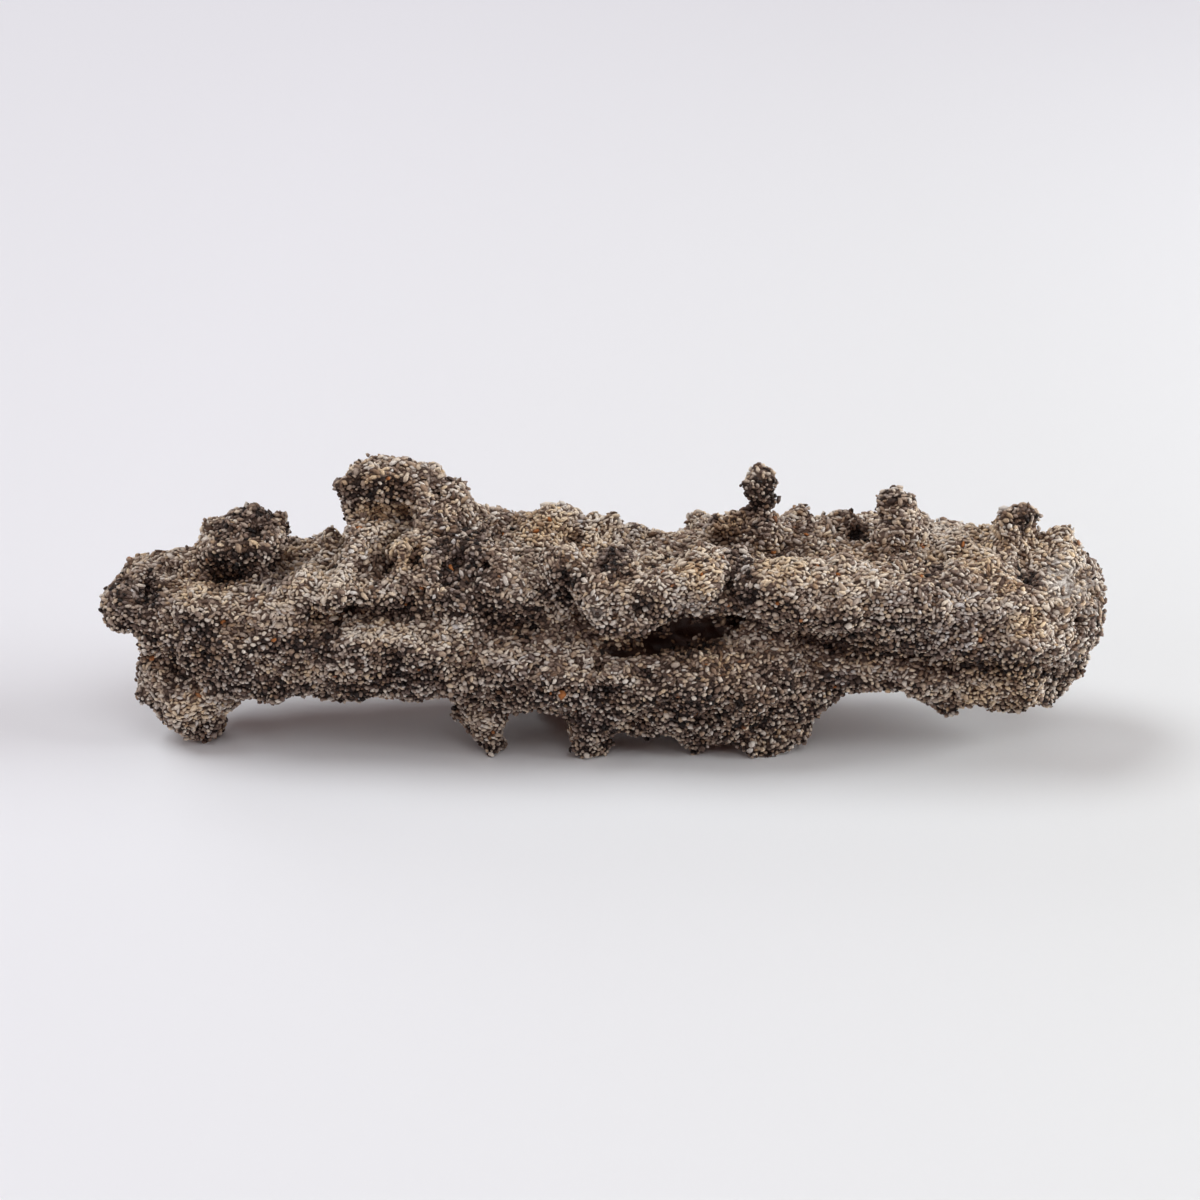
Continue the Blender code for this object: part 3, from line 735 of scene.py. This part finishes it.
def cloud(points, span, shift=0.0):
    """Smooth noise from -1 to 1 at each point."""
    return np.array([noise.noise(Vector(point)) for point in (points / span + shift).tolist()])


def cells(points, span):
    """Distance to the nearest of a scatter of seeds, in spans, at each point."""
    return np.array([noise.voronoi(Vector(point))[0][0] for point in (points / span).tolist()])


def mesh_piece(name, points, faces, material):
    """An object of the part, from points in millimetres."""
    mesh = bpy.data.meshes.new(name)
    mesh.from_pydata((points * MM).tolist(), [], faces.tolist())
    mesh.shade_smooth()
    mesh.materials.append(material)
    piece = bpy.data.objects.new(name, mesh)
    bpy.context.scene.collection.objects.link(piece)
    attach(piece, "root")
    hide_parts(NODE)
    return piece


def note(piece, name, values):
    """Keep a number at each point of the piece for its material."""
    layer = piece.data.attributes.new(name, "FLOAT", "POINT")
    layer.data.foreach_set("value", np.asarray(values, dtype=np.float32))


# Glass body


def fine_copy():
    """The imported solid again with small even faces: points, triangles and edges."""
    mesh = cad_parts[NODE].data.copy()
    shell = bmesh.new()
    shell.from_mesh(mesh)
    bmesh.ops.scale(shell, vec=(1 / MM, 1 / MM, 1 / MM), verts=shell.verts)
    bmesh.ops.remove_doubles(shell, verts=shell.verts, dist=WELD_GAP)
    shell.to_mesh(mesh)
    shell.free()
    body = bpy.data.objects.new("fine_copy", mesh)
    bpy.context.scene.collection.objects.link(body)
    remesh = body.modifiers.new("Fine", "REMESH")
    remesh.mode = "VOXEL"
    remesh.voxel_size = GLASS_VOXEL
    soften = body.modifiers.new("Soften", "SMOOTH")
    soften.iterations = GLASS_SOFTENING
    fine = body.evaluated_get(bpy.context.evaluated_depsgraph_get()).to_mesh()
    fine.calc_loop_triangles()
    points = np.array([tuple(vert.co) for vert in fine.vertices])
    triangles = np.array([tuple(triangle.vertices) for triangle in fine.loop_triangles])
    links = np.array([tuple(edge.vertices) for edge in fine.edges])
    bpy.data.objects.remove(body)
    bpy.data.meshes.remove(mesh)
    return points, triangles, links


def roughened(points, triangles, nooks, swells):
    """The body drawn in by a grain's depth, with its lumps, crumbs, pits and nooks."""
    normals = corner_normals(points, triangles)
    lumps = LUMP_RELIEF * (LUMP_MIDDLE - cells(points, LUMP_SPAN))
    crumbs = CRUMB_RELIEF * cloud(points, CRUMB_SPAN)
    pits = pitted(points, np.random.default_rng(SEED + 1))
    relief = lumps + crumbs + swells - np.maximum(pits, nooks) - GLASS_INSET
    moved = points + normals * relief[:, None]
    moved[:, 2] = np.maximum(moved[:, 2], FLOOR_GAP)
    return moved


def pitted(points, dice):
    """How deep small round pits, thrown at random, sink each point."""
    tree = neighbourhood(points)
    depth = np.zeros(len(points))
    for centre in dice.choice(len(points), PITS, replace=False).tolist():
        radius = dice.uniform(*PIT_RADII)
        sink = dice.uniform(*PIT_DEPTHS)
        for _, index, gap in tree.find_range(points[centre].tolist(), radius):
            depth[index] = max(depth[index], sink * (1 - (gap / radius) ** 2) ** 2)
    return depth


def settled(points, triangles, links):
    """How deep each point lies in a nook, and how far its ground looks up: both 0 to 1."""
    level = softened(points, links, CAVITY_STEPS)
    normals = corner_normals(level, triangles)
    sunk = ((level - points) * normals).sum(axis=1)
    low, high = TOP_LIGHT_FACING
    upward = np.clip((normals[:, 2] - low) / (high - low), 0.0, 1.0)
    return np.clip(sunk / CAVITY_DEPTH, 0.0, 1.0), eased(upward)


class View:
    """Carries marks made in the camera's frame to the glass behind them."""

    def __init__(self, points, triangles):
        self.tree = BVHTree.FromPolygons(points.tolist(), triangles.tolist())
        self.right, self.up, self.away = view_axes()
        self.eye = Vector(CAMERA_TARGET) + self.away * CAMERA_DISTANCE

    def behind(self, across, down):
        """The point of the glass that shows at this pixel."""
        half = FRAME_PIXELS / 2
        per_pixel = SENSOR / LENS / FRAME_PIXELS
        ray = self.right * (across - half) * per_pixel - self.up * (down - half) * per_pixel - self.away
        spot = self.tree.ray_cast(self.eye, ray.normalized())[0]
        if spot is None:
            raise ValueError(f"the glass doesn't show at {across}, {down}")
        return np.array(spot)

    def distances(self, points, across, down, reaches):
        """How far the points lie from the mark at this pixel, in reaches across, up and along."""
        axes = np.array((self.right, self.up, self.away))
        return np.linalg.norm((points - self.behind(across, down)) @ axes.T / np.array(reaches), axis=1)

    def nudged(self, points, nudges):
        """The points after small pulls across the view, which reach further along it."""
        moved = points.copy()
        for across, down, reach, rightward, upward in nudges.values():
            away = self.distances(points, across, down, (reach, reach, reach * NUDGE_DEPTH))
            grip = eased(np.clip(1.0 - away, 0.0, 1.0))
            pull = np.array(self.right) * rightward + np.array(self.up) * upward
            moved += grip[:, None] * pull
        return moved

    def marked(self, points, marks):
        """How strongly the marks cover each point, their edges frayed by noise."""
        fray = MARK_FRAY * cloud(points, MARK_FRAY_SPAN, MARK_FRAY_SHIFT)
        cover = np.zeros(len(points))
        for across, down, half_width, half_height, amount in marks.values():
            half_depth = MARK_DEPTH * max(half_width, half_height)
            away = self.distances(points, across, down, (half_width, half_height, half_depth))
            edge = np.clip((MARK_EDGE - away + fray) / (MARK_EDGE - MARK_CORE), 0.0, 1.0)
            cover = np.maximum(cover, amount * eased(edge))
        return cover


def glass_material():
    """Dark glass below and in nooks and a paler brown crust above, which paint shade below and top light
    above; paler and glossier where it lies bare.
    """
    graph = Graph("fused_glass")
    streak = graph.noise(span=0.45, detail=4.0)
    grit = graph.noise(span=0.07, detail=2.0)
    flaw = (graph.noise(span=0.24, roughness=0.7) * FLAW_CONTRAST - FLAW_CUT).between(0.0, 1.0)
    bare = graph.noted("bare")
    slot = graph.noted("slot")
    shade_to_top_light = graph.mixed(
        graph.noted("crust"), graph.painted(streak, DARK_GLASS), graph.painted(streak, TOP_LIT_CRUST_GLASS)
    )
    clean = graph.mixed(bare, shade_to_top_light, graph.painted(flaw, PALE_GLASS))
    rough = GLASS_ROUGHNESS - bare * BARE_POLISH - slot * SLOT_POLISH + grit * GRIT_ROUGHNESS
    return graph.finish(
        Base_Color=graph.mixed(slot, clean, graph.painted(streak, UMBER_GLASS)),
        Roughness=rough.between(*GLASS_LIMITS),
        Specular_IOR_Level=SAND_REFLECTION,
        Normal=graph.bump(grit + streak * STREAK_RELIEF + bare * flaw, depth=0.04, strength=0.8),
    )


def grain_material():
    """Sand: clear, cream, grey and dark grains, each darkened towards its foot as painted shade, and a
    few of rust.
    """
    graph = Graph("sand_grains")
    last = len(SAND_TONES) - 1
    stops = [(step / last, paint(screen)) for step, screen in enumerate(SAND_TONES)]
    mottle = graph.noise(span=0.09, detail=2.0)
    tone = (graph.noted("tone") + (mottle - 0.5) * TONE_MOTTLE).between(0.0, 1.0)
    sand = graph.node("ShaderNodeValToRGB", {"stops": stops}, (("Fac", tone),)).outputs["Color"]
    warm = graph.mixed(graph.noted("warmth"), sand, WARM_TINT, "MULTIPLY")
    cool = graph.mixed(graph.noted("coolness"), warm, COOL_TINT, "MULTIPLY")
    stained = graph.mixed(graph.noted("rust"), cool, graph.painted(mottle, RUST))
    rough = GRAIN_ROUGHNESS - graph.noted("gloss") * GLOSS_POLISH + mottle * MOTTLE_ROUGHNESS
    return graph.finish(
        Base_Color=graph.mixed(graph.noted("grime"), stained, paint(FOOT_SHADE_PAINT), "MULTIPLY"),
        Roughness=rough.between(*GRAIN_LIMITS),
        Specular_IOR_Level=SAND_REFLECTION,
        Normal=graph.bump(graph.noise(span=0.05, detail=2.0), depth=0.012, strength=0.5),
    )


def unrolled(points, triangles):
    """Places on a map for each corner: along the length and around it."""
    around = np.arctan2(points[:, 1], points[:, 2] - points[:, 2].mean()) / (2 * math.pi) + 0.5
    corners = around[triangles]
    seam = corners.max(axis=1) - corners.min(axis=1) > 0.5
    corners[seam] = np.where(corners[seam] < 0.5, 1.0, corners[seam])
    span = np.ptp(points[:, 0])
    along = (points[:, 0] - points[:, 0].min()) / span
    return np.stack((along[triangles], corners), axis=2).reshape(-1, 2)


def lay_map(piece, places):
    """Give the piece's corners their places on its map."""
    layer = piece.data.uv_layers.new(name="OFBake")
    layer.data.foreach_set("uv", np.asarray(places, dtype=np.float32).ravel())


def make_glass():
    """The glass body, and all that the grains need to know about it."""
    points, triangles, links = fine_copy()
    points = View(points, triangles).nudged(points, NUDGES)
    view = View(points, triangles)
    covers = {name: view.marked(points, marks) for name, marks in MARKS.items()}
    points = roughened(points, triangles, covers["nook"], covers["swell"])
    sunk, upward = settled(points, triangles, links)
    # Crust and top light: partly crust and partly painted top light where ground looks up; pale marks add
    # to it and the soot and shade marks take from it
    crust = np.clip(upward + CRUST_AND_LIGHT_ON_PALE * covers["pale"] - CRUST_AND_LIGHT_OFF_SHADE * covers["soot_and_shade"], 0.0, 1.0)
    piece = mesh_piece("fused_glass", points, triangles, glass_material())
    lay_map(piece, unrolled(points, triangles))
    # Crust and top light fades in nooks, as painted shade there
    fields = {**covers, "sunk": sunk, "crust": crust * (1 - CRUST_AND_LIGHT_OFF_NOOK * sunk)}
    for name in ("bare", "slot", "crust"):
        note(piece, name, fields[name])
    return points, triangles, fields, View(points, triangles)


# Grains


def thrown(points, triangles, fields, dice):
    """Seeds thrown evenly over the glass: places, normals and the glass's fields there."""
    area = np.linalg.norm(facings(points, triangles), axis=1)
    picked = dice.choice(len(triangles), GRAIN_SEEDS, p=area / area.sum())
    share = dice.random((GRAIN_SEEDS, 2))
    fold = share.sum(axis=1) > 1
    share[fold] = 1 - share[fold]
    weights = np.column_stack((1 - share.sum(axis=1), share))
    corners = triangles[picked]
    normals = corner_normals(points, triangles)
    places = (points[corners] * weights[:, :, None]).sum(axis=1)
    facing = (normals[corners] * weights[:, :, None]).sum(axis=1)
    facing /= np.linalg.norm(facing, axis=1, keepdims=True)
    found = {name: (values[corners] * weights).sum(axis=1) for name, values in fields.items()}
    return places, facing, found


def thinned(places, radii, wanted):
    """Indices of the seeds that find room for their grain, in the order they were thrown."""
    tree = neighbourhood(places)
    free = wanted.tolist()
    sizes = radii.tolist()
    kept = []
    for index, spot in enumerate(places.tolist()):
        if not free[index]:
            continue
        kept.append(index)
        size = sizes[index]
        for _, other, gap in tree.find_range(spot, GRAIN_SPACING * (size + GRAIN_RADIUS_LIMITS[1])):
            if gap < GRAIN_SPACING * (size + sizes[other]):
                free[other] = False
    return np.array(kept)


def grain_pattern():
    """An icosahedron without its bottom fan: points, triangles, map places and painted foot shade."""
    turns = np.radians(np.arange(GRAIN_SIDES) * 360 / GRAIN_SIDES)
    half_turn = math.pi / GRAIN_SIDES
    high = 1 / math.sqrt(5)
    wide = 2 / math.sqrt(5)
    rings = [(0.0, 0.0, 1.0)]
    spots = [(0.0, 0.0)]
    for level, radius, shift in ((high, 0.5, 0.0), (-high, 1.0, half_turn)):
        for turn in turns + shift:
            rings.append((wide * math.cos(turn), wide * math.sin(turn), level))
            spots.append((radius * math.cos(turn), radius * math.sin(turn)))
    faces = []
    upper = 1
    lower = upper + GRAIN_SIDES
    for step in range(GRAIN_SIDES):
        after = (step + 1) % GRAIN_SIDES
        faces.append((0, upper + step, upper + after))
        faces.append((upper + step, lower + step, upper + after))
        faces.append((upper + after, lower + step, lower + after))
    grime = np.repeat(GRAIN_FOOT_SHADE, (1, GRAIN_SIDES, GRAIN_SIDES))
    return np.array(rings), np.array(faces), np.array(spots), grime


def frames_on(facing, dice):
    """For each grain three axes: its long one and another across, and one near its normal."""
    count = len(facing)
    upright = facing + GRAIN_TILT * dice.normal(size=(count, 3))
    upright /= np.linalg.norm(upright, axis=1, keepdims=True)
    along = dice.normal(size=(count, 3))
    along[:, 0] *= 1 + GRAIN_FLOW
    along -= (along * upright).sum(axis=1, keepdims=True) * upright
    along /= np.linalg.norm(along, axis=1, keepdims=True)
    return np.stack((along, np.cross(upright, along), upright), axis=1)


def between_shapes(first, second, share, dice):
    """Random numbers drawn between two ranges, which blend from one to the other."""
    low = first[0] + (second[0] - first[0]) * share
    high = first[1] + (second[1] - first[1]) * share
    return low + (high - low) * dice.random(len(share))


def weighed(shares, fields):
    """The fields added up, each times its share."""
    return sum(share * fields[name] for name, share in shares.items())


def tones(places, found, dice):
    """Brightness, warmth, coolness, rust, gloss and painted foot shade of each grain."""
    count = len(places)
    clouds = {name: cloud(places, span, shift) for name, (span, shift) in CLOUDS.items()}
    fields = {**found, **clouds, "all": np.ones(count)}
    tone = weighed(TONE, fields) + dice.normal(0.0, weighed(TONE_SPREAD, fields), count)
    warmth = weighed(WARMTH, fields) + dice.normal(0.0, WARMTH_SPREAD, count)
    coolness = weighed(COOLNESS, fields) + dice.normal(0.0, COOLNESS_SPREAD, count)
    rust = np.where(dice.random(count) < RUST_CHANCE, dice.uniform(*RUST_AMOUNTS, count), 0.0)
    return {
        "tone": np.clip(tone, 0.0, 1.0),
        "warmth": np.clip(warmth, 0.0, 1.0),
        "coolness": np.clip(coolness, 0.0, 1.0),
        "rust": rust,
        "gloss": dice.random(count) ** 2,
        "grime": weighed(FOOT_SHADE, fields),
    }


def sprinkled(points, triangles, fields, dice):
    """The grains that found room: places, normals, radii and the glass's fields there."""
    places, facing, found = thrown(points, triangles, fields, dice)
    radii = GRAIN_RADIUS * np.exp(dice.normal(0.0, GRAIN_RADIUS_SPREAD, GRAIN_SEEDS))
    radii = np.clip(radii, *GRAIN_RADIUS_LIMITS)
    wanted = dice.random(GRAIN_SEEDS) > np.maximum(found["bare"], found["slot"])
    room = radii * (BEAD_ROOM + (1 - BEAD_ROOM) * found["crust"])
    kept = thinned(places, room, wanted)
    return places[kept], facing[kept], radii[kept], {name: values[kept] for name, values in found.items()}


def single_out(places, radii, colours, view):
    """Give the grains nearest to the marks a radius and looks of their own."""
    for marks, looks in SINGLE_GRAINS:
        for across, down, radius in marks.values():
            nearest = np.argmin(np.linalg.norm(places - view.behind(across, down), axis=1))
            radii[nearest] = radius
            for label, value in looks.items():
                colours[label][nearest] = value


def set_grains(points, triangles, fields, view):
    """Thousands of grains set into the glass, in a few joined pieces."""
    dice = np.random.default_rng(SEED)
    places, facing, radii, found = sprinkled(points, triangles, fields, dice)
    colours = tones(places, found, dice)
    single_out(places, radii, colours, view)
    stretch = np.stack([
        between_shapes(bead, splinter, found["crust"], dice)
        for bead, splinter in zip(BEAD_SHAPE, SPLINTER_SHAPE)
    ], axis=1)
    rise = between_shapes(BEAD_RISE, SPLINTER_RISE, found["crust"], dice)
    perched = dice.random(len(places)) < PERCHED_SHARE
    rise[perched] = dice.uniform(*PERCHED_RISE, perched.sum())
    axes = frames_on(facing, dice) * (stretch * radii[:, None])[:, :, None]
    middles = places + facing * (rise * radii)[:, None]
    order = dice.permutation(len(places))
    material = grain_material()
    for number in range(GRAIN_PIECES):
        chosen = order[number::GRAIN_PIECES]
        shares = {label: values[chosen] for label, values in colours.items()}
        grain_piece(f"sand_grains_{number + 1}", middles[chosen], axes[chosen], shares, material, dice)


def grain_piece(name, middles, axes, colours, material, dice):
    """One share of the grains as a joined mesh, with a cell of its map for each grain."""
    rings, faces, spots, grime = grain_pattern()
    count = len(middles)
    lumps = 1 + dice.normal(0.0, GRAIN_JITTER, (count, len(rings), 1))
    verts = np.einsum("gvk,gkc->gvc", rings * lumps, axes) + middles[:, None, :]
    verts[:, :, 2] = np.maximum(verts[:, :, 2], 0.0)
    triangles = faces + np.arange(count)[:, None, None] * len(rings)
    piece = mesh_piece(name, verts.reshape(-1, 3), triangles.reshape(-1, 3), material)
    columns = math.ceil(math.sqrt(count))
    cell = np.stack(np.divmod(np.arange(count), columns), axis=1) + 0.5
    maps = (cell[:, None, None, :] + CELL_FILL * spots[faces]) / columns
    lay_map(piece, maps)
    for label, values in colours.items():
        share = grime if label == "grime" else np.ones(len(rings))
        note(piece, label, np.outer(values, share).ravel())


place_camera()
place_lamps()
place_fill()
lay_floor()
set_grains(*make_glass())
